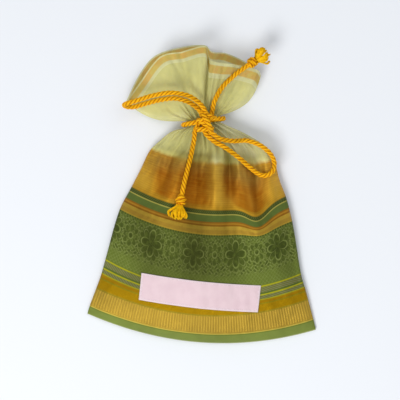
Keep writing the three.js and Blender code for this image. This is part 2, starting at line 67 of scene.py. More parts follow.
TISSUE_TOP = 133


def mix(a, b, t):
    return a + (b - a) * t


def bump(t):
    return np.exp(-t * t)


def smooth(low, high, value):
    t = np.clip((value - low) / (high - low), 0, 1)
    return t * t * (3 - 2 * t)


def through(places, values, at):
    """A smooth curve through values at rising places."""
    places = np.asarray(places, float)
    values = np.asarray(values, float)
    last = len(places) - 1
    i = np.clip(np.searchsorted(places, at), 1, last)
    before = np.maximum(np.arange(last + 1) - 1, 0)
    after = np.minimum(np.arange(last + 1) + 1, last)
    slopes = (values[after] - values[before]) / (places[after] - places[before])
    span = places[i] - places[i - 1]
    t = np.clip((at - places[i - 1]) / span, 0, 1)
    t2 = t * t
    t3 = t2 * t
    start = (2 * t3 - 3 * t2 + 1) * values[i - 1] + (t3 - 2 * t2 + t) * span * slopes[i - 1]
    end = (3 * t2 - 2 * t3) * values[i] + (t3 - t2) * span * slopes[i]
    return start + end


def tie_point(a, v):
    x = TIE_WIDTH / 2 * a
    return TIE_X + x, TIE_Y + v - TIE_AT + TIE_SLOPE * x


# Side seams below the tie: along, left x and y, right x and y, sag of the woven lines between them
SEAMS = np.array([
    (0, -85, -90.6, 86, -102.6, 15.6),
    (7.5, -83.4, -85, 84.2, -95.2, 15.2),
    (24, -78, -70.6, 80, -79.2, 15.2),
    (33.5, -74.6, -61.2, 77.8, -71.4, 16),
    (45, -71.4, -49.7, 74.7, -60.4, 16.4),
    (83.5, -61, -13.4, 68.4, -22.3, 14.4),
    (103, -52, 4, 63.4, -3, 13.8),
    (118, -44.6, 18.4, 58.6, 9.6, 10.6),
    (TISSUE_TOP, -38.4, 31, 55, 22.4, 7),
    (146, -31, 38.2, 49, 33.6, 4),
    (158, -21.6, 45.4, 33.6, 43.4, 1.6),
    (TIE_FOOT, *tie_point(-1, TIE_FOOT), *tie_point(1, TIE_FOOT), 0),
])

# How the hem of the mouth lies: across, x, y, z
LEFT_TIP = (-1, -56.4, 67.4, 4)
RIGHT_TIP = (1, 44.6, 87, 9)
FRONT_HEM = np.array([
    LEFT_TIP,
    (-0.8, -47.2, 79, 11),
    (-0.55, -31, 99.6, 18),
    (-0.3, -14, 104, 17),
    (-0.06, 3.4, 107.4, 24.5),
    (0.02, 5.4, 101.5, 12.5),
    (0.1, 7.4, 97, 18),
    (0.5, 26, 94, 21),
    (0.86, 42, 90.4, 16),
    RIGHT_TIP,
])
BACK_HEM = np.array([
    LEFT_TIP,
    (-0.78, -46.2, 88.4, 2.4),
    (-0.55, -34.6, 102.4, 0.9),
    (-0.25, -14, 109, 2.6),
    (0, 3, 110.4, 0.9),
    (0.12, 8, 105.6, 3.6),
    (0.35, 19, 104.4, 0.9),
    (0.7, 34.6, 97, 2.4),
    RIGHT_TIP,
])
# How the hem is turned over: across, width, and how far the golden line is moved towards the edge
FRONT_TURNING = np.array([
    (0, 0.8, 1),
    (0.06, 1.45, 0),
    (0.3, 1.4, 0),
    (1, 1.15, 0),
])
BACK_TURNING = np.array([(0, 0.9, 1.2)])
LEFT_BOW = (-1.6, -5.2)
RIGHT_BOW = (5.4, -4.8)

# Gathers and folds that run down from the tie, as in the solids
GATHERS = 9
GATHER_DEPTH = 4.4
GATHER_DRIFT = 0.05
FOLD_FADE = 32
# across, width, depth and where the fold ends
FRONT_FOLDS = [
    (-0.86, 0.07, -1.8, 96),
    (-0.67, 0.07, 5.4, 94),
    (-0.5, 0.07, -2.6, 90),
    (-0.21, 0.13, 8, 94),
    (0.08, 0.08, -3.6, 86),
    (0.28, 0.07, 7, 94),
    (0.68, 0.1, 7.4, 90),
    (0.88, 0.08, -2.4, 88),
]
MOUTH_PUFF = 5
MOUTH_FOLDS = [
    (-0.72, 0.1, 3.2),
    (-0.36, 0.09, 4.2),
    (0.02, 0.05, 6),
    (0.34, 0.1, 4.4),
    (0.72, 0.1, 3.2),
]

# Folds that only the looks have, soft ones in the belly: across, width and depth
BELLY_FOLDS = [
    (-0.62, 0.08, 0.35),
    (-0.22, 0.17, 1),
    (0.33, 0.14, 0.6),
    (0.94, 0.06, 0.5),
]
# Streaks from x, y to x, y, with a half width and a depth: painted shade in the folds of the tissue, where
# it lies double
TISSUE_SHADE_STREAKS = [
    (-27, 23, -25.5, -9, 8.6, 1.15),
    (-13, 22, -10, -6, 7, 0.6),
    (-3.2, 15, -0.6, -10, 9.5, 1.05),
    (17.6, 27, 20, 10, 4, 0.7),
    (21, 12, 28, -3, 5, 0.85),
    (21.6, -1, 31.6, -12, 3.2, 0.75),
    (31.6, 14, 34.6, -10, 7.6, 1.05),
    (39.4, 9, 40.6, -11, 6, 1),
    (47, 10, 49, -8, 5, 0.3),
]
# and where the brocade lies in shade
SHADE_STREAKS = [
    (-4.2, -28, -3, -58, 17, 1),
    (-43, -26, -37, -56, 19, 0.72),
    (19.6, -34, 22.5, -56, 12, 0.5),
    (61, -30, 64, -56, 9, 0.4),
]
# and where the sheer cloth lies over the tissue
VEIL_STREAKS = [
    (-13, 26.6, 4, 26, 3.4, 0.9),
    (-31, 24, 2, 20.6, 7, 0.75),
    (18, 18, 36, 13.4, 8.5, 0.9),
    (36, 22, 40, 8, 6, 0.4),
]
# and where a ridge of the tissue or of the sheer cloth catches the light
LIT_STREAKS = [
    (17.6, 47.6, 24, 39, 6, 0.9),
    (28, 34, 38, 29, 5, 0.9),
    (44.6, 21, 46, 15, 4.4, 0.8),
    (11, 22, 13.4, -4, 4.4, 0.8),
    (-43.4, 11, -43, 5, 6, 0.9),
    (14, -6, 21, -6.4, 5, 0.9),
    (55, 6, 58, -4, 7, 1),
    (36.6, -3, 38.4, -9, 3, 0.4),
]
POCKET_ACROSS = 0.62
POCKET_WIDTH = 0.17
POCKET_ALONG = 102
POCKET_REACH = 19
POCKET_DIP = 8


def fold_sum(folds, a):
    return sum(depth * bump((a - place) / width) for place, width, depth in folds)


def streak_sum(streaks, x, y):
    """How deep in the streaks each place is."""
    total = 0
    for from_x, from_y, to_x, to_y, width, depth in streaks:
        run = np.array([to_x - from_x, to_y - from_y])
        part = np.clip(((x - from_x) * run[0] + (y - from_y) * run[1]) / (run @ run), 0, 1)
        away = np.hypot(x - from_x - part * run[0], y - from_y - part * run[1])
        total = total + depth * bump(away / width)
    return total


def from_mouth(turning, a, v):
    """How far a place is from the mouth, as the hem is turned over there."""
    width = np.interp(a, turning[:, 0], turning[:, 1])
    moved = np.interp(a, turning[:, 0], turning[:, 2])
    return (CLOTH_LENGTH - v) / width + moved


def down_from_tie(v):
    return np.maximum(0, TIE_FOOT - v) / TIE_FOOT


def up_from_tie(v):
    return np.maximum(0, v - TIE_TOP) / MOUTH_LENGTH


def side_edge(a):
    return 1 - a**6


def gathered(a):
    return 0.5 - 0.5 * np.cos(math.pi * GATHERS * (a + GATHER_DRIFT * np.sin(5 * a)))


def tie_round(a):
    return (TIE_DEPTH / 2 - CLOTH_THICKNESS) * np.sqrt(np.maximum(0, 1 - a * a))


def plan(hem, a, v):
    """Where a point of the cloth lies, seen from above."""
    left_x, left_y, right_x, right_y, sag = (through(SEAMS[:, 0], SEAMS[:, k], v) for k in range(1, 6))
    t = (a + 1) / 2
    pocket = bump((a - POCKET_ACROSS) / POCKET_WIDTH) * bump((v - POCKET_ALONG) / POCKET_REACH)
    below_x = mix(left_x, right_x, t)
    below_y = mix(left_y, right_y, t) - sag * (1 - a * a) - POCKET_DIP * pocket
    up = up_from_tie(v)
    foot_x, foot_y = tie_point(a, TIE_TOP)
    bowed = a**4 * np.sin(math.pi * up)
    bow_x = np.where(a < 0, LEFT_BOW[0], RIGHT_BOW[0])
    bow_y = np.where(a < 0, LEFT_BOW[1], RIGHT_BOW[1])
    above_x = mix(foot_x, through(hem[:, 0], hem[:, 1], a), up) + bow_x * bowed
    above_y = mix(foot_y, through(hem[:, 0], hem[:, 2], a), up) + bow_y * bowed
    tied_x, tied_y = tie_point(a, v)
    x = np.where(v < TIE_FOOT, below_x, np.where(v > TIE_TOP, above_x, tied_x))
    y = np.where(v < TIE_FOOT, below_y, np.where(v > TIE_TOP, above_y, tied_y))
    return x, y


def seam_height(a, v):
    """Height of the side seams, and between them the level that parts front from back."""
    down = down_from_tie(v)
    lying = mix(SIDE_SEAM_HEIGHT, BOTTOM_SEAM_HEIGHT, down**3)
    below = mix(lying, TIE_MIDDLE, bump(down / 0.17))
    tips = mix(LEFT_TIP[3], RIGHT_TIP[3], (a + 1) / 2)
    above = mix(TIE_MIDDLE, tips, smooth(0, 0.6, up_from_tie(v)))
    return np.where(v <= TIE_FOOT, below, above)


def front_rise(a, v):
    """How far the front panel rises above the seam level."""
    down = down_from_tie(v)
    top = mix(TIE_MIDDLE + TIE_DEPTH / 2, BELLY_HEIGHT, smooth(0.03, 0.5, down))
    full = top - CLOTH_THICKNESS - seam_height(a, v)
    crown = full * np.maximum(0, 1 - down**4.5) ** 0.62
    dome = np.maximum(0, 1 - a * a) ** mix(0.5, 0.74, smooth(0, 0.3, down))
    gathers = GATHER_DEPTH * gathered(a) * (1 - smooth(0.08, 0.34, down))
    folds = sum(
        depth * smooth(end, end + FOLD_FADE, v) * bump((a - place) / width)
        for place, width, depth, end in FRONT_FOLDS
    )
    below = crown * dome - side_edge(a) * (gathers + folds * smooth(0, 0.2, down))
    up = up_from_tie(v)
    swell = np.sin(math.pi * up)
    hem = through(FRONT_HEM[:, 0], FRONT_HEM[:, 3], a) - seam_height(a, CLOTH_LENGTH)
    gathers = GATHER_DEPTH * gathered(a) * (1 - smooth(0.05, 0.5, up))
    folds = fold_sum(MOUTH_FOLDS, a) * swell
    puff = MOUTH_PUFF * swell * (1 - a**4)
    above = mix(tie_round(a), hem, smooth(0, 1, up)) + puff - side_edge(a) * (gathers + folds)
    return np.maximum(0, np.where(v <= TIE_FOOT, below, above))


def back_sink(a, v):
    """How far the back panel sinks below the seam level; it never goes below the ground."""
    down = down_from_tie(v)
    up = up_from_tie(v)
    deepest = seam_height(a, v) - CLOTH_THICKNESS
    lying = deepest * np.minimum(1, BACK_FULLNESS * (1 - a**4))
    hem = seam_height(a, CLOTH_LENGTH) - through(BACK_HEM[:, 0], BACK_HEM[:, 3], a)
    below = mix(tie_round(a), lying, smooth(0.02, 0.3, down))
    above = mix(tie_round(a), hem, smooth(0, 0.8, up))
    fading = (1 - smooth(0.04, 0.2, down)) * (1 - smooth(0.05, 0.4, up))
    sink = np.where(v <= TIE_FOOT, below, above) - side_edge(a) * GATHER_DEPTH * gathered(-a) * fading
    return np.clip(sink, 0, deepest)


# Finer folds than the solids have: pleats that fan out from the tie, and wrinkles all over
PLEATS = 21
PLEAT_DEPTH = 0.7
BACK_PLEAT_DEPTH = 3.6
BELLY_SAG = 1.3
FRONT_WRINKLE_SEED = 7
BACK_WRINKLE_SEED = 12


def ripples(x, y, seed, count, shortest, longest, turn):
    """Soft noise from -1 to 1: waves of chosen lengths, their crests within an angle of the Y axis."""
    random = np.random.default_rng(seed)
    total = np.zeros(np.broadcast(x, y).shape)
    for _ in range(count):
        length = mix(shortest, longest, random.random())
        angle = turn * (2 * random.random() - 1)
        phase = 2 * math.pi * random.random()
        total += np.sin(2 * math.pi * (x * math.cos(angle) + y * math.sin(angle)) / length + phase)
    return total / math.sqrt(2 * count)


def pleats(a, v):
    """Valleys between narrow pleats near the tie, from 0 on a crest to 1 in a valley."""
    place = a + 0.035 * np.sin(9 * a + 1) + 0.02 * np.sin(21 * a)
    valley = 0.5 - 0.5 * np.cos(math.pi * PLEATS * place)
    below = 1 - smooth(0.02, 0.3, down_from_tie(v))
    above = 1 - smooth(0.02, 0.6, up_from_tie(v))
    return valley * np.where(v <= TIE_FOOT, below, above)


def wrinkles(a, v, seed):
    """Height of the small wrinkles, more in the thin cloth than in the brocade."""
    x = a * CLOTH_WIDTH / 2
    thin = smooth(95, 135, v)
    long = ripples(x, v, seed, 12, 9, 24, 0.25)
    short = ripples(x, v, seed + 1, 14, 5, 11, 1.2)
    broad = ripples(x, v, seed + 2, 8, 26, 60, 0.5)
    return 0.7 * broad + (0.25 + 0.4 * thin) * long + (0.12 + 0.06 * thin) * short


def edge_fade(a, v):
    """0 on the side and bottom seams and 1 a little way in from them."""
    side = smooth(0, 1, (1 - np.abs(a)) / 0.05)
    return side * smooth(0, 1, v / 6)


def closing(a, v):
    """How far front and back stand apart at a seam: nothing on it, their full thickness beside it."""
    side = np.clip((1 - np.abs(a)) / 0.02, 0, 1)
    return np.sqrt(side * np.clip(v / 2, 0, 1))


def front_panel(a, v):
    x, y = plan(FRONT_HEM, a, v)
    fine = PLEAT_DEPTH * pleats(a, v) * side_edge(a)
    belly = BELLY_SAG * fold_sum(BELLY_FOLDS, a) * smooth(8, 40, v) * smooth(120, 100, v)
    detail = (wrinkles(a, v, FRONT_WRINKLE_SEED) - fine - belly) * edge_fade(a, v)
    rise = CLOTH_THICKNESS * closing(a, v) + np.maximum(0, front_rise(a, v) + detail)
    return x, y, seam_height(a, v) + rise


def back_panel(a, v):
    x, y = plan(BACK_HEM, a, v)
    deepest = seam_height(a, v) - GROUND_GAP
    fine = BACK_PLEAT_DEPTH * pleats(-a, v)
    detail = (wrinkles(a, v, BACK_WRINKLE_SEED) - fine) * edge_fade(a, v)
    sink = CLOTH_THICKNESS * closing(a, v) + back_sink(a, v) * closing(a, v) + detail
    return x, y, seam_height(a, v) - np.clip(sink, 0, deepest)


def grid(columns, rows):
    a = np.linspace(-1, 1, columns + 1)
    v = np.linspace(0, CLOTH_LENGTH, rows + 1)
    return np.meshgrid(a, v)


# The shapes above, moved to the shared frame, where the solid cloth is
FRONT_COLUMNS = 240
BACK_COLUMNS = 120
CLOTH_ROWS = 290
OUTLINE_COLUMNS = 76
OUTLINE_ROWS = 80
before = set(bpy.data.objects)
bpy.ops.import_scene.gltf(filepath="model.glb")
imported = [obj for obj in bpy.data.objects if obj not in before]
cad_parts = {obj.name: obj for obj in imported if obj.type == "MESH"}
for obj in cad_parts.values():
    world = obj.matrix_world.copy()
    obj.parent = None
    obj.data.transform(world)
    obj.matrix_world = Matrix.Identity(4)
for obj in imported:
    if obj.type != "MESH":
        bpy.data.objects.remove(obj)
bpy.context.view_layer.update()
front_a, front_v = grid(FRONT_COLUMNS, CLOTH_ROWS)
front_x, front_y, front_z = front_panel(front_a, front_v)
outline_a, outline_v = grid(OUTLINE_COLUMNS, OUTLINE_ROWS)
outline_x, outline_y = plan(BACK_HEM, outline_a, outline_v)
solid_low, solid_high = (np.array(corner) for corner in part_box("bag_cloth"))


def middle(*grids):
    """Half way between the smallest and the largest value of some grids."""
    values = np.concatenate([values.ravel() for values in grids])
    return (values.min() + values.max()) / 2


SOLID_MIDDLE = (solid_low + solid_high) / 2 / MM
SHIFT_X = SOLID_MIDDLE[0] - middle(outline_x, front_x)
SHIFT_Y = SOLID_MIDDLE[1] - middle(outline_y, front_y)


def to_frame(points):
    """Millimetres of the shapes above to metres of the shared frame."""
    return (np.asarray(points, float) + (SHIFT_X, SHIFT_Y, 0)) * MM


def add_object(name, data):
    made = bpy.data.objects.new(name, data)
    bpy.context.collection.objects.link(made)
    return made


# The camera looks straight down: metres, and millimetres for its sensor
VIEW_CENTRE = (-0.00124, -0.0045)
VIEW_WIDTH = 0.2968
CAMERA_HEIGHT = 1.2
SENSOR_WIDTH = 36
VIEWED_LEVEL = 0.012


def make_camera():
    data = bpy.data.cameras.new("overhead_camera")
    data.sensor_width = SENSOR_WIDTH
    data.lens = SENSOR_WIDTH * (CAMERA_HEIGHT - VIEWED_LEVEL) / VIEW_WIDTH
    camera = add_object("overhead_camera", data)
    camera.location = (*VIEW_CENTRE, CAMERA_HEIGHT)
    bpy.context.scene.camera = camera


make_camera()


# How high the cord lies on the cloth
CELL = 1.0
CELLS_FROM = (-95, -120)
CELLS_UP_TO = (95, 120)


def height_cells():
    """The cloth's highest point in each square of a grid, with the few empty squares filled in."""
    columns = int((CELLS_UP_TO[0] - CELLS_FROM[0]) / CELL)
    rows = int((CELLS_UP_TO[1] - CELLS_FROM[1]) / CELL)
    cells = np.full((columns, rows), -1.0)
    i = ((front_x.ravel() - CELLS_FROM[0]) / CELL).astype(int)
    j = ((front_y.ravel() - CELLS_FROM[1]) / CELL).astype(int)
    np.maximum.at(cells, (i, j), front_z.ravel())
    for _ in range(2):
        around = np.max([np.roll(cells, step, axis) for axis in (0, 1) for step in (-1, 1)], axis=0)
        cells = np.where(cells < 0, around, cells)
    return cells


CELL_HEIGHTS = height_cells()


def resting_height(x, y, radius):
    """Lowest height of a ball's middle when it rests on the cloth at a place."""
    reach = int(math.ceil(radius / CELL))
    i = int((x - CELLS_FROM[0]) / CELL)
    j = int((y - CELLS_FROM[1]) / CELL)
    highest = -math.inf
    for m in range(i - reach, i + reach + 1):
        for n in range(j - reach, j + reach + 1):
            away = math.hypot(CELLS_FROM[0] + (m + 0.5) * CELL - x, CELLS_FROM[1] + (n + 0.5) * CELL - y)
            if away < radius and CELL_HEIGHTS[m, n] >= 0:
                highest = max(highest, CELL_HEIGHTS[m, n] + math.sqrt(radius**2 - away**2))
    return highest


# Meshes
def make_mesh(name, points, faces, material):
    mesh = bpy.data.meshes.new(name)
    mesh.from_pydata([tuple(p) for p in points], [], faces)
    mesh.polygons.foreach_set("use_smooth", [True] * len(mesh.polygons))
    mesh.materials.append(material)
    piece = add_object(name, mesh)
    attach(piece, "root")
    return piece


def set_vectors(piece, name, values):
    """Stores a vector for each point of a mesh, for its material to read."""
    attribute = piece.data.attributes.new(name, "FLOAT_VECTOR", "POINT")
    attribute.data.foreach_set("vector", np.asarray(values, float).ravel())


def grid_faces(rows, columns, closed=False):
    """Quads of a grid of points stored row by row; a closed grid joins its last column to its first."""
    faces = []
    across = columns if closed else columns - 1
    for r in range(rows - 1):
        for c in range(across):
            d = (c + 1) % columns
            faces.append((r * columns + c, r * columns + d, (r + 1) * columns + d, (r + 1) * columns + c))
    return faces


def grid_mesh(name, shape, material):
    """A mesh through grids of x, y and z."""
    points = to_frame(np.stack(shape, axis=-1).reshape(-1, 3))
    return make_mesh(name, points, grid_faces(*shape[0].shape), material)


# Materials: numbers that run through nodes, written as sums
class Wire:
    def __init__(self, tree, socket):
        self.tree = tree
        self.socket = socket

    def then(self, operation, *others):
        node = self.tree.nodes.new("ShaderNodeMath")
        node.operation = operation
        for slot, value in zip(node.inputs, (self, *others)):
            plug(self.tree, value, slot)
        return Wire(self.tree, node.outputs[0])

    def __add__(self, other):
        return self.then("ADD", other)

    def __sub__(self, other):
        return self.then("SUBTRACT", other)

    def __mul__(self, other):
        return self.then("MULTIPLY", other)

    def sine(self):
        return self.then("SINE")

    def wave(self, period):
        """A sine that repeats after a length."""
        return (self * (2 * math.pi / period)).sine()

    def size(self):
        return self.then("ABSOLUTE")

    def up_to(self, other):
        return self.then("MINIMUM", other)

    def at_least(self, other):
        return self.then("MAXIMUM", other)

    def over(self, edge, softness):
        """0 below an edge and 1 above it."""
        node = self.tree.nodes.new("ShaderNodeMapRange")
        node.interpolation_type = "SMOOTHSTEP"
        plug(self.tree, self, node.inputs["Value"])
        node.inputs["From Min"].default_value = edge - softness
        node.inputs["From Max"].default_value = edge + softness
        return Wire(self.tree, node.outputs["Result"])

    def under(self, edge, softness):
        return self.over(edge, softness) * -1 + 1

    def between(self, low, high, softness):
        return self.over(low, softness) * self.under(high, softness)

    def around(self, period):
        """Repeats a length, as -period/2 to period/2."""
        return self.then("WRAP", period / 2, -period / 2)


def plug(tree, value, slot):
    if isinstance(value, Wire):
        tree.links.new(value.socket, slot)
    else:
        slot.default_value = value


def colour(code):
    """A colour written as in the web, in linear light."""
    parts = [int(code[k:k + 2], 16) / 255 for k in (0, 2, 4)]
    return (*[c / 12.92 if c <= 0.04045 else ((c + 0.055) / 1.055) ** 2.4 for c in parts], 1)


def blend(tree, share, first, second, mode="MIX"):
    """A colour between two; each is a colour's code or a wire."""
    node = tree.nodes.new("ShaderNodeMix")
    node.data_type = "RGBA"
    node.blend_type = mode
    plug(tree, share, node.inputs[0])
    for value, slot in ((first, node.inputs[6]), (second, node.inputs[7])):
        plug(tree, colour(value) if isinstance(value, str) else value, slot)
    return Wire(tree, node.outputs[2])


def noise(tree, vector, scale, detail=2.0):
    node = tree.nodes.new("ShaderNodeTexNoise")
    node.inputs["Scale"].default_value = scale
    node.inputs["Detail"].default_value = detail
    tree.links.new(vector.socket, node.inputs["Vector"])
    return Wire(tree, node.outputs["Fac"])


def vector_of(tree, *parts):
    node = tree.nodes.new("ShaderNodeCombineXYZ")
    for value, slot in zip(parts, node.inputs):
        plug(tree, value, slot)
    return Wire(tree, node.outputs[0])


def stored(tree, name):
    """The three parts of a vector stored with the mesh."""
    node = tree.nodes.new("ShaderNodeAttribute")
    node.attribute_name = name
    split = tree.nodes.new("ShaderNodeSeparateXYZ")
    tree.links.new(node.outputs["Vector"], split.inputs[0])
    return [Wire(tree, out) for out in split.outputs]


def new_material(name, roughness, sheen=0.0):
    material = bpy.data.materials.new(name)
    material.use_nodes = True
    shader = material.node_tree.nodes["Principled BSDF"]
    shader.inputs["Roughness"].default_value = roughness
    shader.inputs["Sheen Weight"].default_value = sheen
    return material, material.node_tree, shader


def add_bump(tree, shader, height, distance):
    node = tree.nodes.new("ShaderNodeBump")
    node.inputs["Distance"].default_value = distance * MM
    plug(tree, height, node.inputs["Height"])
    tree.links.new(node.outputs["Normal"], shader.inputs["Normal"])


# The woven bands from the bottom seam up: where each starts, and its colour
WOVEN = [
    (0, "9aa262"),
    (0.7, "76833c"),
    (6.9, "66762e"),
    (7.7, "c2ab48"),
    (8.5, "a98c30"),
    (9.3, "bf9d3a"),
    (22.8, "9a8524"),
    (24, "a47f06"),
    (30.6, "8f8018"),
    (31.6, "9c7706"),
    (34.2, "a09a1e"),
    (35, "6b7030"),
    (37.8, "a8a31e"),
    (38.8, "56672a"),
    (40, "6b7030"),
    (44.2, "a8a31e"),
    (45.2, "66742e"),
    (84.6, "bd9a34"),
    (85.6, "ad8830"),
    (88.4, "b99634"),
    (91.2, "8f5f16"),
    (92.4, "ab7a22"),
    (93.6, "8f5f16"),
    (94.6, "5c6c30"),
    (99.6, "a9a04a"),
    (100.4, "36461f"),
    (103.4, "b98a22"),
]
# What is drawn on them: from and to
RIBBED_BAND = (9.5, 22.8)
HATCHED_BANDS = ((35.2, 37.6), (40.1, 43.9))
BROCADE_BAND = (45.8, 83.8)
DOTTED_BAND = (83.4, 84.6)
DASHED_BAND = (100.6, 103.2)
CHEVRON_BAND = (104, 116)
TISSUE_BAND = (105, 150)

RIB_SHADE = "93752a"
HATCH_GREY = "85806a"
BROCADE_DARK = "2c3610"
BROCADE_LIGHT = "949d58"
DOT_GREEN = "33451c"
DASH_GREEN = "6f7a38"
CHEVRON_GOLD = "e2b83c"
BELLY_SHADE = "2b2a08"
TISSUE_GOLD = "d2a233"
TISSUE_STREAK = "a8701a"
# Painted shade in the folds of the tissue
TISSUE_FOLD_SHADE = "a5620c"
TISSUE_LIGHT = "dfb040"
VEILED = "a4954a"
SHEER = "e5e08e"
# Painted shade in the folds of the sheer cloth
SHEER_FOLD_SHADE = "bab44f"
SHEER_LIT = "fbf8c6"
SHEER_BROWN = "a89a4c"
HEM_PALE = "dedca2"
HEM_GOLD = "ccb04c"
HEM_AMBER = "c99c42"
LABEL_PINK = "e0c6cb"
LABEL_ROSE = "d6b8c0"
LABEL_EDGE = "ebdddf"
CORD_AMBER = "f09c08"
THREAD_PALE = "f7e9ee"
THREAD_ROSE = "dcc3cf"
PAPER = "e9ecf1"


def woven_bands(tree, along):
    shade = WOVEN[0][1]
    for start, code in WOVEN[1:]:
        shade = blend(tree, along.over(start, 0.25), shade, code)
    return shade


# Where the brocade's flowers are
FLOWER_ALONG = 70.5
FLOWER_REPEAT = 40.8
FLOWER_START = -11
SLANT = math.sqrt(0.5)


def petals(x, y, count, reach, waist):
    """How far inside a ring of petals a point is, in millimetres."""
    angle = y.then("ARCTAN2", x)
    away = (x * x + y * y).then("SQRT")
    lobe = (angle * (count / 2)).then("COSINE").size().then("POWER", waist)
    return lobe * reach - away


def outline(inside, width):
    return inside.size().under(width, 0.25)


def highest_of(first, *others):
    for other in others:
        first = first.at_least(other)
    return first


def brocade(tree, across, along, ground):
    """A damask row: four-petalled flowers, filigree rosettes between them and a lattice below."""
    x = (across - FLOWER_START).around(FLOWER_REPEAT)
    y = along - FLOWER_ALONG
    flower = petals(x, y, 4, 9.8, 0.8)
    leaves = petals((x + y) * SLANT, (y - x) * SLANT, 4, 11.6, 2.2)
    wreath = petals(x, y, 16, 13.4, 0.12)
    between = (across - FLOWER_START - FLOWER_REPEAT / 2).around(FLOWER_REPEAT)
    rosette = petals(between, y, 8, 8.6, 0.3)
    heart = petals(between, y, 6, 4.6, 0.5)
    scrolls = (across * 1.05 + (along * 1.3).sine()).sine() * (along * 1.2 + (across * 0.9).sine()).sine()
    beyond = wreath.under(0, 0.3) * rosette.under(0, 0.3) * along.between(55, 83, 1.5)
    worn = noise(tree, vector_of(tree, across, along, 0.0), 0.3, 2).over(0.44, 0.12)
    ring = (between * between + y * y).then("SQRT") * -1 + 2.3
    light = highest_of(
        outline(flower, 0.5),
        outline(leaves, 0.42) * flower.under(-0.4, 0.3),
        outline(wreath, 0.4) * 0.7,
        outline(rosette, 0.42) * 0.8,
        outline(ring, 0.4),
        outline(heart, 0.3) * 0.6,
        outline(scrolls * 2, 0.36) * beyond * 0.9,
    )
    light = light * (worn * 0.5 + 0.5)
    dark = highest_of(
        flower.over(0.9, 0.5),
        wreath.over(0.8, 0.6) * flower.under(-0.8, 0.4) * 0.7,
        rosette.over(0.8, 0.4) * heart.under(-0.7, 0.3) * 0.6,
        ring.over(0.8, 0.4) * 0.9,
        scrolls.over(0.3, 0.3) * beyond * 0.7,
    )
    dark = dark * (worn * 0.5 + 0.5)
    ground = blend(tree, along.between(57, 84, 3) * worn * 0.22, ground, BROCADE_DARK)
    lattice_x = (across + along).around(3.2).size()
    lattice_y = (across - along).around(3.2).size()
    lattice = lattice_x.up_to(lattice_y).under(0.3, 0.3) * along.under(58, 5)
    light = light.at_least(lattice * (worn * 0.3 + 0.2))
    inside = along.between(*BROCADE_BAND, 0.4)
    shade = blend(tree, dark * inside * 0.62, ground, BROCADE_DARK)
    shade = blend(tree, light * inside * 0.7, shade, BROCADE_LIGHT)
    dots = across.wave(2.6).over(0.1, 0.3) * along.between(*DOTTED_BAND, 0.2)
    return blend(tree, dots * 0.8, shade, DOT_GREEN), (light - dark) * inside


def hatched(tree, across, along, ground):
    """Slanting threads in two of the narrow stripes, and dashes in the dark one below the tissue."""
    slant = (across + along * 1.6).wave(3).over(0, 0.4)
    lower, upper = (along.between(*band, 0.2) for band in HATCHED_BANDS)
    shade = blend(tree, slant * lower.at_least(upper) * 0.5, ground, HATCH_GREY)
    dashes = (across - along * 0.9).wave(2.2).over(0, 0.4) * along.between(*DASHED_BAND, 0.2)
    return blend(tree, dashes * 0.4, shade, DASH_GREEN)


def ribbed(tree, across, along, ground):
    """Raised ribs across the gold band above the bottom edge."""
    ribs = across.wave(2.1) * 0.5 + 0.5
    inside = along.between(*RIBBED_BAND, 0.3)
    shade = blend(tree, ribs * inside * 0.5, ground, RIB_SHADE)
    return shade, ribs * inside


def chevrons(tree, across, along, ground):
    """A fine zigzag in the foot of the tissue."""
    rising = (across + along * 0.8).wave(2.2)
    falling = (across - along * 0.8).wave(2.2)
    lines = (rising * falling).over(0.1, 0.4) * along.between(*CHEVRON_BAND, 4)
    return blend(tree, lines * 0.4, ground, CHEVRON_GOLD)


def folded(tree, along, streaks, folds, ground):
    """Painted shade in the folds of the belly and the tissue, painted highlights on the tissue's lit
    places, and its veiled places.
    """
    fold_shade, veil, lit = folds
    in_tissue = along.between(*TISSUE_BAND, 3)
    shade = blend(tree, fold_shade * along.under(106, 2) * 0.56, ground, BELLY_SHADE)
    shade = blend(tree, fold_shade * in_tissue * (streaks * 0.8 + 0.46), shade, TISSUE_FOLD_SHADE)
    shade = blend(tree, lit * in_tissue * (streaks * 0.6 + 0.1), shade, TISSUE_LIGHT)
    return blend(tree, veil * in_tissue * 0.5, shade, VEILED)


def sheer_cloth(tree, folds):
    fold_shade, veil, lit = folds
    # Painted shade in the folds of the sheer cloth, painted highlights on its lit ridges, and the tissue
    # seen through it
    shade = blend(tree, fold_shade * 0.3, SHEER, SHEER_FOLD_SHADE)
    shade = blend(tree, lit * 0.7, shade, SHEER_LIT)
    return blend(tree, veil * 0.8, shade, SHEER_BROWN)


def hemmed(tree, slubs, doubled, edge, ground):
    """The doubled hem and the blotched gold line on it."""
    shade = blend(tree, doubled, ground, HEM_PALE)
    blotched = blend(tree, slubs.over(0.5, 0.12), HEM_GOLD, HEM_AMBER)
    return blend(tree, edge * 0.85, shade, blotched)


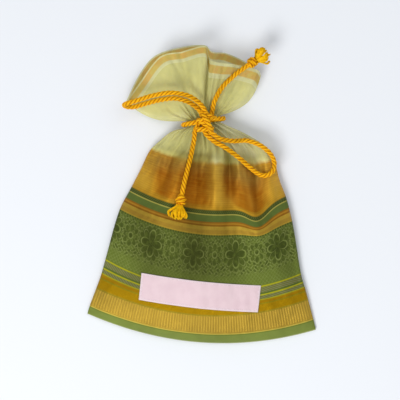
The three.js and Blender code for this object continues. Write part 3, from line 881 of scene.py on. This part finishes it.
def cloth_material():
    material, tree, shader = new_material("sari_cloth", roughness=0.5)
    # The third part of "cloth" is painted shade of creases and folds; "veil" holds veiled places, painted
    # highlights and the distance from the mouth
    across, along, fold_shade = stored(tree, "cloth")
    veil, lit, from_edge = stored(tree, "veil")
    folds = (fold_shade, veil, lit)
    place = vector_of(tree, across, along, 0.0)
    streaks = noise(tree, vector_of(tree, across * 0.04, along * 1.2, 0.0), 1.0, 3)
    slubs = noise(tree, place, 0.12, 3)
    patches = noise(tree, place, 0.035, 2)
    uneven = along + slubs * 4
    doubled = from_edge.under(HEM_DEPTH, 0.25)
    edge = from_edge.between(HEM_EDGE, HEM_DEPTH - HEM_FOLD, 0.3)
    shade = woven_bands(tree, along)
    shade = hatched(tree, across, along, shade)
    shade, ribs = ribbed(tree, across, along, shade)
    shade, relief = brocade(tree, across, along, shade)
    tissue = blend(tree, streaks.over(0.5, 0.12) * 0.6, TISSUE_GOLD, TISSUE_STREAK)
    shade = blend(tree, along.over(112, 5), shade, tissue)
    shade = chevrons(tree, across, along, shade)
    shade = folded(tree, along, streaks, folds, shade)
    shade = blend(tree, uneven.over(TISSUE_TOP + 4, 2), shade, sheer_cloth(tree, folds))
    shade = hemmed(tree, slubs, doubled, edge, shade)
    tone = slubs * 0.24 + patches * 0.5 + 0.63
    shade = blend(tree, 1.0, shade, vector_of(tree, tone, tone, tone), "MULTIPLY")
    plug(tree, shade, shader.inputs["Base Color"])
    gold = along.between(8, 33, 1) + along.between(84.6, 92, 0.5) + along.between(103, TISSUE_TOP + 2, 3)
    plug(tree, gold * 0.5, shader.inputs["Metallic"])
    plug(tree, gold * -0.14 + 0.56, shader.inputs["Roughness"])
    shader.inputs["Specular IOR Level"].default_value = 0.06
    thin = uneven.over(TISSUE_TOP + 6, 4)
    see_through = thin * 0.46 - doubled * 0.16 - edge * 0.22 - fold_shade * thin * 0.2
    plug(tree, see_through * -1 + 1, shader.inputs["Alpha"])
    warp = across.wave(0.55)
    weft = along.wave(0.5)
    height = warp * weft * 0.25 + ribs * 1.4 + relief * 0.8 + streaks * 0.8 + slubs * 0.6
    add_bump(tree, shader, height, 0.16)
    return material


def label_material():
    material, tree, shader = new_material("label_ribbon", roughness=0.42, sheen=0.2)
    across, along, edge = stored(tree, "ribbon")
    threads = across.wave(0.42) * along.wave(0.42)
    patches = noise(tree, vector_of(tree, across, along, 0.0), 0.1, 3)
    shade = blend(tree, patches.over(0.5, 0.2) * 0.5, LABEL_PINK, LABEL_ROSE)
    shade = blend(tree, edge * 0.7, shade, LABEL_EDGE)
    plug(tree, shade, shader.inputs["Base Color"])
    add_bump(tree, shader, threads * 0.3 + patches, 0.1)
    return material


def cord_material(name, bright, deep):
    """Soft twisted yarn: fine fibres wound the other way round each ply, and painted shade in the grooves
    between the plies.
    """
    material, tree, shader = new_material(name, roughness=0.6)
    shader.inputs["Specular IOR Level"].default_value = 0.08
    around, along, groove_shade = stored(tree, "yarn")
    fibres = (around * 4 + along * 2.2).sine()
    patches = noise(tree, vector_of(tree, around, along, groove_shade), 0.6, 3)
    shade = blend(tree, patches.over(0.5, 0.2) * 0.5, bright, CORD_AMBER)
    shade = blend(tree, fibres.over(0.2, 0.5) * 0.25, shade, deep)
    # Painted shade on the sides of the plies that face into the grooves
    shade = blend(tree, groove_shade * 0.85, shade, deep)
    plug(tree, shade, shader.inputs["Base Color"])
    add_bump(tree, shader, fibres * 0.5 + patches, 0.12)
    return material


def thread_material():
    material, tree, shader = new_material("stitch_thread", roughness=0.5, sheen=0.2)
    around, along, _ = stored(tree, "yarn")
    twist = (around + along * 6).sine()
    plug(tree, blend(tree, twist.over(0, 0.6), THREAD_PALE, THREAD_ROSE), shader.inputs["Base Color"])
    add_bump(tree, shader, twist, 0.05)
    return material


# The cords
PLIES = 3
PLY_PITCH = 10.2
PLY_SIDES = 9
PLY_RADIUS = 0.95
PLY_OFFSET = 0.92
# How far apart a cord's points are: in its mesh, on its laid route and in its path
CORD_SAMPLE = 0.45
ROUTE_SAMPLE = 1.5
PATH_SAMPLE = 2.5

LEFT_LOOP = [
    (3.4, 52, 3), (3.9, 56.2, 3.2), (2.2, 61.4, 3.8), (-2.4, 66.6, 5.5),
    (-10.2, 71, 8), (-22.3, 72.8, 10.4), (-34.9, 71, 12.6), (-42, 68.9, 14.2),
    (-48.6, 66.8, 16), (-52.6, 65.8, 16.4), (-55.5, 65, 14.2), (-56.6, 64.4, 10.6),
    (-55.5, 63.8, 6.8), (-52.6, 63.4, 3.2), (-48.6, 63.8, 0.8), (-42, 65.6, 0.6),
    (-31.6, 68.2, 0.4), (-19.3, 69.4, 0), (-9.6, 66.8, 0), (-2.8, 62.2, 0),
    (-0.8, 60, 0), (1, 56, 0.6), (2.4, 52, 1.4),
]
RIGHT_LOOP = [
    (3, 51, 2.4), (5.4, 46.6, 2.6), (9.4, 42.6, 2.6), (14.4, 39.4, 2.2),
    (23, 38, 1.4), (34, 38.4, 0.6), (43.6, 35, 0.4), (50.4, 29.8, 0.4),
    (53.6, 25, 0.4), (54.4, 20, 0.4), (52.8, 15.6, 0.4), (49, 12.8, 0.4),
    (44.6, 12.8, 0.4), (40.4, 15.2, 0.4), (35.6, 19, 0.4), (28.4, 25.2, 0.4),
    (18, 33, 0), (10.6, 37, 0), (5.4, 41.2, 0), (2.6, 45, 0.6),
    (2.4, 49, 1.4),
]
UPPER_TAIL = [
    (5.4, 52, 1), (7, 55.6, 0.4), (8.2, 59.2, 0), (9.6, 66.2, 0),
    (15.3, 76.8, 0), (24.5, 86, 0), (31, 91, 0), (34.2, 93.2, 0),
]
LOWER_TAIL = [
    (1, 52, 1), (-2.4, 49.2, 0.4), (-4.4, 45.4, 0), (-5.2, 38.4, 0),
    (-8.2, 23.7, 0), (-12.1, 8.1, 0), (-14, -1.6, 0),
]


def reached_along(points):
    """How long a path is up to each of its points."""
    steps = np.linalg.norm(np.diff(points, axis=0), axis=1)
    return np.concatenate([[0], np.cumsum(steps)])


def spaced(points, step):
    """Evenly spaced points on a smooth curve through the given ones."""
    points = np.asarray(points, float)
    reached = reached_along(points)
    fine = np.linspace(0, reached[-1], max(60, 40 * len(points)))
    curve = np.stack([through(reached, points[:, k], fine) for k in range(points.shape[1])], axis=1)
    reached = reached_along(curve)
    even = np.linspace(0, reached[-1], max(8, round(reached[-1] / step)) + 1)
    return np.stack([np.interp(even, reached, curve[:, k]) for k in range(points.shape[1])], axis=1)


def soften(values, reach):
    """Evens out a row of numbers over some neighbours, its ends kept."""
    kernel = np.hanning(2 * reach + 3)
    padded = np.pad(values, reach + 1, mode="edge")
    return np.convolve(padded, kernel / kernel.sum(), mode="valid")


def highest_near(values, reach):
    """The highest of each number and its neighbours."""
    padded = np.pad(values, reach, mode="edge")
    return np.max([padded[k:k + len(values)] for k in range(2 * reach + 1)], axis=0)


def laid_on_cloth(route, stiffness=3):
    """A cord's route with each point lifted onto the cloth below it, as evenly as a stiffness asks."""
    points = spaced(route, ROUTE_SAMPLE)
    rests = np.array([resting_height(x, y, CORD_RADIUS) for x, y, _ in points])
    last = 0
    for i, rest in enumerate(rests):
        last = rest if rest > 0 else last
        rests[i] = last
    points[:, 2] += soften(highest_near(rests, 2), stiffness) + CORD_GAP / 2
    return points


def frames_along(points):
    """A forward direction and two sides for each point, turning as little as they can."""
    forward = np.gradient(points, axis=0)
    forward /= np.linalg.norm(forward, axis=1)[:, None]
    side = np.cross(forward[0], (0, 0, 1.0))
    if np.linalg.norm(side) < 0.1:
        side = np.cross(forward[0], (0, 1.0, 0))
    sides = []
    for direction in forward:
        side = side - direction * np.dot(side, direction)
        side = side / np.linalg.norm(side)
        sides.append(side)
    sides = np.array(sides)
    return forward, sides, np.cross(sides, forward)


def tube_points(path, sides_count, radius):
    """Rings of points around a path; the radius is one number, or one for each point."""
    _, side, up = frames_along(path)
    turn = 2 * math.pi * np.arange(sides_count) / sides_count
    radius = np.broadcast_to(radius, len(path))[:, None, None]
    ring = np.cos(turn)[None, :, None] * side[:, None, :] + np.sin(turn)[None, :, None] * up[:, None, :]
    return path[:, None, :] + radius * ring


class Strands:
    """Tubes collected into one mesh, each with its yarn's coordinates."""

    def __init__(self):
        self.points = []
        self.yarn = []
        self.faces = []

    def add(self, path, sides, radius, axis=None):
        """A tube along a path, closed at both ends; the side that faces the cord's axis is marked for
        painted shade in the grooves.
        """
        rings = tube_points(path, sides, radius)
        count = len(path)
        base = len(self.points)
        turn = 2 * math.pi * np.arange(sides) / sides
        reached = reached_along(path)
        groove_shade = np.zeros((count, sides))
        if axis is not None:
            outward = path - axis
            outward /= np.linalg.norm(outward, axis=1)[:, None] + 1e-9
            facing = np.einsum("nsk,nk->ns", rings - path[:, None, :], outward)
            groove_shade = smooth(0.75, 0.1, facing / np.broadcast_to(radius, count)[:, None])
        self.points.extend(rings.reshape(-1, 3))
        yarn = np.stack(np.broadcast_arrays(turn[None, :], reached[:, None], groove_shade), axis=-1)
        self.yarn.extend(yarn.reshape(-1, 3))
        for a, b, c, d in grid_faces(count, sides, closed=True):
            self.faces.append((base + a, base + b, base + c, base + d))
        self.faces.append(tuple(base + k for k in reversed(range(sides))))
        self.faces.append(tuple(base + (count - 1) * sides + k for k in range(sides)))

    def rope(self, path):
        """Three plies twisted around a path."""
        _, side, up = frames_along(path)
        reached = reached_along(path)
        for ply in range(PLIES):
            turn = 2 * math.pi * (ply / PLIES + reached / PLY_PITCH)
            offset = np.cos(turn)[:, None] * side + np.sin(turn)[:, None] * up
            self.add(path + PLY_OFFSET * offset, PLY_SIDES, PLY_RADIUS, axis=path)

    def piece(self, name, material):
        made = make_mesh(name, to_frame(self.points), self.faces, material)
        set_vectors(made, "yarn", self.yarn)
        return made


CORD = cord_material("twisted_cord", "ffc416", "b25a00")
TUFT = cord_material("tuft_yarn", "ffcf10", "d08c04")


def cord_piece(name, points):
    """A length of twisted cord along points, and the path that it follows."""
    strands = Strands()
    strands.rope(spaced(points, CORD_SAMPLE))
    piece = strands.piece(name, CORD)
    path = spaced(points, PATH_SAMPLE)
    length = np.sum(np.linalg.norm(np.diff(path, axis=0), axis=1)) * MM
    return piece, to_frame(path), length


WRAP_OPENING = 0.3
WRAP_POINTS = 41


def neck_wrap_route():
    """Around the gathered neck, from one side of the bow knot to the other."""
    turn = np.linspace(WRAP_OPENING, 2 * math.pi - WRAP_OPENING, WRAP_POINTS)
    x = (TIE_WIDTH / 2 + 2 * CORD_GAP + CORD_RADIUS) * np.sin(turn)
    z = (TIE_DEPTH / 2 + CORD_GAP + CORD_RADIUS) * np.cos(turn)
    return np.stack([TIE_X + x, TIE_Y + TIE_SLOPE * x, TIE_MIDDLE + z], axis=1)


def node_middle(name):
    points = np.array([tuple(vertex.co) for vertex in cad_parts[name].data.vertices])
    return points.mean(axis=0) / MM - (SHIFT_X, SHIFT_Y, 0)


# Stopper knots and tufts at the ends of the tails
STOPPER_RADIUS = 4
STOPPER_LENGTH = 8.4
STOPPER_TURNS = 2.1
TUFT_LENGTH = 11.4
TUFT_SUNK = 0.8
TAIL_SUNK = 0.6
TUFT_ROOT = 2.3
TUFT_FLARE = 7.2
TUFT_FLATNESS = 0.75
TUFT_LOCKS = 15
LOCK_YARNS = 9
TUFT_CURL = 1.1
GOLDEN_TURN = 2.4
TUFT_SEED = 3


def placed(start, direction, along, wide, high):
    """Points at distances from a start: along a direction, sideways and upwards."""
    side = np.cross((0, 0, -1.0), direction)
    side /= np.linalg.norm(side)
    up = np.cross(side, direction)
    return start + np.outer(along, direction) + np.outer(wide, side) + np.outer(high, up)


def stopper_knot(name, centre, direction):
    """The cord coiled round its own end."""
    t = np.linspace(0, 1, 90)
    turn = 2 * math.pi * STOPPER_TURNS * t
    reach = (STOPPER_RADIUS - CORD_RADIUS) * (1 - 0.35 * (2 * t - 1) ** 4)
    along = (t - 0.5) * (STOPPER_LENGTH - CORD_DIAMETER)
    coil = placed(centre, direction, along, reach * np.cos(turn), reach * np.sin(turn))
    strands = Strands()
    strands.rope(spaced(coil, CORD_SAMPLE))
    core = centre + np.outer(np.linspace(-0.62, 0.62, 12) * STOPPER_LENGTH, direction)
    strands.rope(core)
    return strands.piece(name, CORD)


def tuft(name, start, direction, seed):
    """Loose yarns in curling locks that fan out and close again a little at their ends."""
    random = np.random.default_rng(seed)
    strands = Strands()
    t = np.linspace(0, 1, 9)
    for lock in range(TUFT_LOCKS):
        lock_away = math.sqrt((lock + 0.5) / TUFT_LOCKS)
        lock_turn = GOLDEN_TURN * lock
        lock_length = TUFT_LENGTH * (1.1 - 0.22 * lock_away - 0.16 * random.random())
        waves = 2 + 3 * random.random()
        starts_at = 6 * random.random()
        for _ in range(LOCK_YARNS):
            away = lock_away + 0.16 * (random.random() - 0.5)
            turn = lock_turn + 0.5 * (random.random() - 0.5)
            length = lock_length * (1 - 0.14 * random.random())
            opening = smooth(0, 0.75, t) - 0.45 * smooth(0.7, 1.15, t)
            spread = away * mix(TUFT_ROOT, TUFT_FLARE, opening)
            curl = TUFT_CURL * np.sin(t * waves + starts_at) * t
            wide = spread * math.cos(turn) + curl
            high = spread * math.sin(turn) * TUFT_FLATNESS + 0.6 * curl[::-1] * t
            path = placed(start, direction, t * length, wide, high)
            strands.add(path, 5, mix(0.55, 0.34, t))
    return strands.piece(name, TUFT)


def tail_pieces(tail, route, seed):
    """A tail with its stopper knot and tuft, which lie where their solids are."""
    knot_middle = node_middle(f"{tail}_tail_knot")
    tuft_middle = node_middle(f"{tail}_tail_tuft")
    direction = (tuft_middle - knot_middle) / np.linalg.norm(tuft_middle - knot_middle)
    points = laid_on_cloth(route)
    knot_start = knot_middle - direction * STOPPER_LENGTH / 2
    points[:, 2] += (knot_start[2] - points[-1, 2]) * smooth(0.6, 1, np.linspace(0, 1, len(points)))
    points = np.vstack([points, knot_start + direction * TAIL_SUNK])
    piece, path, length = cord_piece(f"scene_{tail}_tail", points)
    knot = stopper_knot(f"scene_{tail}_tail_knot", knot_middle, direction)
    tuft_start = knot_middle + direction * (STOPPER_LENGTH / 2 - TUFT_SUNK)
    end = tuft(f"scene_{tail}_tail_tuft", tuft_start, direction, seed)
    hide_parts(f"cord_{tail}_tail")
    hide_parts(f"{tail}_tail_knot")
    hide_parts(f"{tail}_tail_tuft")


def loop_piece(name, node, points):
    piece, path, length = cord_piece(name, points)
    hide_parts(node)


# The bow knot: turns of cord drawn tight over each other, in its own millimetres
KNOT_LEAN = 0.25
KNOT_COILS = [
    # middle along the knot, reach sideways, reach upwards, lean of the turn
    (-4.2, 4.5, 3.1, 0.35),
    (-0.7, 5.6, 3.8, -0.35),
    (3, 5.7, 3.9, 0.45),
    (6.5, 4.8, 3.3, -0.2),
]
KNOT_CROSSING = [(-5.3, 7.2, 0), (-2.6, 5, 4.5), (1.4, 1.2, 5.7), (4.5, -2.8, 4.1), (5.6, -5.8, -0.4)]


def bow_knot():
    centre = node_middle("cord_bow_knot")
    direction = np.array([KNOT_LEAN, 1, 0]) / math.hypot(KNOT_LEAN, 1)
    strands = Strands()
    turn = np.linspace(0, 2 * math.pi * 1.04, 60)
    for along, wide, high, lean in KNOT_COILS:
        x = wide * np.cos(turn)
        z = high * np.sin(turn)
        path = placed(centre, direction, along + lean * x, x, z)
        strands.rope(spaced(path, CORD_SAMPLE))
    x, along, z = np.transpose(KNOT_CROSSING)
    strands.rope(spaced(placed(centre, direction, along, x, z), CORD_SAMPLE))
    piece = strands.piece("scene_bow_knot", CORD)
    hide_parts("cord_bow_knot")


tail_pieces("upper", UPPER_TAIL, TUFT_SEED)
tail_pieces("lower", LOWER_TAIL, TUFT_SEED + 1)
loop_piece("scene_left_loop", "cord_left_loop", laid_on_cloth(LEFT_LOOP, stiffness=12))
loop_piece("scene_right_loop", "cord_right_loop", laid_on_cloth(RIGHT_LOOP))
loop_piece("scene_neck_wrap", "cord_neck_wrap", neck_wrap_route())
bow_knot()


# The cloth
# How creases are found for their painted shade: how far the cloth is evened, and how deep a crease is
# shaded fully
FOLD_REACH = 11
FOLD_DEEP = 3
TISSUE_FOOT = (104, 108)


def cloth_panel(name, shape, a, v, turning, material):
    """A panel; the painted shade of its valleys and shaded streaks, its veiled streaks, the painted
    highlights of its lit streaks and its hem are stored for its material.
    """
    x, y, z = shape
    piece = grid_mesh(name, shape, material)
    # Painted shade in the creases: how far each place lies below the evened cloth
    evened = np.apply_along_axis(soften, 1, z, FOLD_REACH)
    valley = np.clip((evened - z) / FOLD_DEEP, 0, 1)
    in_tissue = smooth(TISSUE_TOP + 8, TISSUE_TOP - 4, v) * smooth(*TISSUE_FOOT, v)
    # Painted shade in the folds of the tissue, where it lies double
    tissue_shade = streak_sum(TISSUE_SHADE_STREAKS, x, y) * in_tissue
    belly = streak_sum(SHADE_STREAKS, x, y) * smooth(*TISSUE_FOOT[::-1], v)
    shade = np.clip(valley + tissue_shade + belly, 0, 1)
    stored_values = np.stack([a * CLOTH_WIDTH / 2, v, shade], axis=-1)
    set_vectors(piece, "cloth", stored_values)
    veil = np.clip(streak_sum(VEIL_STREAKS, x, y), 0, 1)
    lit = np.clip(streak_sum(LIT_STREAKS, x, y), 0, 1)
    set_vectors(piece, "veil", np.stack([veil, lit, from_mouth(turning, a, v)], axis=-1))
    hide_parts("bag_cloth")
    return piece


cloth = cloth_material()
front_shape = (front_x, front_y, front_z)
front = cloth_panel("scene_front_panel", front_shape, front_a, front_v, FRONT_TURNING, cloth)
back_a, back_v = grid(BACK_COLUMNS, CLOTH_ROWS)
back_shape = back_panel(back_a, back_v)
back = cloth_panel("scene_back_panel", back_shape, back_a, back_v, BACK_TURNING, cloth)


# The blank ribbon, sewn down all round
LABEL_LENGTH = 88
LABEL_WIDTH = 20
LABEL_GAP = 0.35
LABEL_X = -0.9
LABEL_Y = -75.3
LABEL_SLOPE = -0.105
LABEL_BOW = 1.4
LABEL_FEELS = (-1.5, 0, 1.5)
LABEL_THICKNESS = 0.35
LABEL_BORDER = 1.6
PUCKER_HEIGHT = 0.22
PUCKER_SINK = 0.1
PUCKER_LIFT = 0.2
PUCKER_SEED = 21
LABEL_COLUMNS = 120
LABEL_ROWS = 28
STITCH_INSET = 1.3
STITCH_LENGTH = 2.1
STITCH_STEP = 3.0
STITCH_RADIUS = 0.17
STITCH_ARCH = 0.14
STITCH_LIFT = 0.12
STITCH_POINTS = 5
STITCH_SIDES = 5

SQUARE = ((-1, -1), (1, -1), (1, 1), (-1, 1))


def label_place(along, up):
    """A point of the ribbon, from its length and width measured from its middle."""
    bow = LABEL_BOW * (2 * along / LABEL_LENGTH) ** 2
    return LABEL_X + along - up * LABEL_SLOPE, LABEL_Y + up + along * LABEL_SLOPE + bow


def cloth_height(x, y):
    """Height of the cloth between the middles of the cells around a place."""
    u = (x - CELLS_FROM[0]) / CELL - 0.5
    w = (y - CELLS_FROM[1]) / CELL - 0.5
    i = np.floor(u).astype(int)
    j = np.floor(w).astype(int)
    low = mix(CELL_HEIGHTS[i, j], CELL_HEIGHTS[i + 1, j], u - i)
    high = mix(CELL_HEIGHTS[i, j + 1], CELL_HEIGHTS[i + 1, j + 1], u - i)
    return mix(low, high, w - j)


def label_height(along, up):
    x, y = label_place(along, up)
    near = sum(cloth_height(x + dx, y + dy) for dx in LABEL_FEELS for dy in LABEL_FEELS)
    puckers = PUCKER_HEIGHT * ripples(along, up, PUCKER_SEED, 10, 7, 20, 0.5)
    return x, y, near / len(LABEL_FEELS) ** 2 + LABEL_GAP + np.maximum(-PUCKER_SINK, puckers) + PUCKER_LIFT


def make_label():
    along, up = np.meshgrid(
        np.linspace(-LABEL_LENGTH / 2, LABEL_LENGTH / 2, LABEL_COLUMNS + 1),
        np.linspace(-LABEL_WIDTH / 2, LABEL_WIDTH / 2, LABEL_ROWS + 1),
    )
    piece = grid_mesh("scene_label", label_height(along, up), label_material())
    to_edge = np.minimum(LABEL_LENGTH / 2 - np.abs(along), LABEL_WIDTH / 2 - np.abs(up))
    set_vectors(piece, "ribbon", np.stack([along, up, 1 - smooth(0, LABEL_BORDER, to_edge)], axis=-1))
    thick = piece.modifiers.new("ribbon_thickness", "SOLIDIFY")
    thick.thickness = LABEL_THICKNESS * MM
    thick.offset = 0
    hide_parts("label")


def label_stitches():
    """Small stitches just inside the ribbon's edge."""
    strands = Strands()
    half = np.array([LABEL_LENGTH, LABEL_WIDTH]) / 2 - STITCH_INSET
    corners = half * SQUARE
    arch = STITCH_ARCH * np.sin(np.linspace(0, math.pi, STITCH_POINTS))
    for start, end in zip(corners, np.roll(corners, -1, axis=0)):
        length = np.linalg.norm(end - start)
        heading = (end - start) / length
        for k in range(int(length / STITCH_STEP)):
            along = np.linspace(0, STITCH_LENGTH, STITCH_POINTS) + (k + 0.25) * STITCH_STEP
            places = start + np.outer(along, heading)
            x, y, z = label_height(places[:, 0], places[:, 1])
            strands.add(np.stack([x, y, z + STITCH_LIFT + arch], axis=1), STITCH_SIDES, STITCH_RADIUS)
    points = to_frame(strands.points)
    piece = make_mesh("scene_label_stitches", points, strands.faces, thread_material())
    set_vectors(piece, "yarn", strands.yarn)


make_label()
label_stitches()


# The studio, in metres and watts
FLOOR_HALF = 1.6
SKY_COLOUR = (0.96, 0.98, 1, 1)
SKY_STRENGTH = 0.46
LAMPS = [
    ("window", (-0.55, -0.8, 1.2), 0.7, 15.6),
    ("fill", (0.7, 0.5, 1.5), 1.2, 6.6),
]


def make_floor():
    corners = [(FLOOR_HALF * x, FLOOR_HALF * y, 0) for x, y in SQUARE]
    mesh = bpy.data.meshes.new("studio_floor")
    mesh.from_pydata(corners, [], [(0, 1, 2, 3)])
    material, tree, shader = new_material("studio_paper", roughness=0.9)
    shader.inputs["Base Color"].default_value = colour(PAPER)
    mesh.materials.append(material)
    add_object("studio_floor", mesh)


def add_lamp(name, place, size, power):
    data = bpy.data.lights.new(name, "AREA")
    data.size = size
    data.energy = power
    lamp = add_object(name, data)
    lamp.location = place
    lamp.rotation_euler = (-Vector(place)).to_track_quat("-Z", "Y").to_euler()


def light_scene():
    world = bpy.data.worlds.new("studio_world")
    world.use_nodes = True
    background = world.node_tree.nodes["Background"]
    background.inputs["Color"].default_value = SKY_COLOUR
    background.inputs["Strength"].default_value = SKY_STRENGTH
    bpy.context.scene.world = world
    for name, place, size, power in LAMPS:
        add_lamp(name, place, size, power)
    bpy.context.scene.view_settings.view_transform = "Standard"


make_floor()
light_scene()
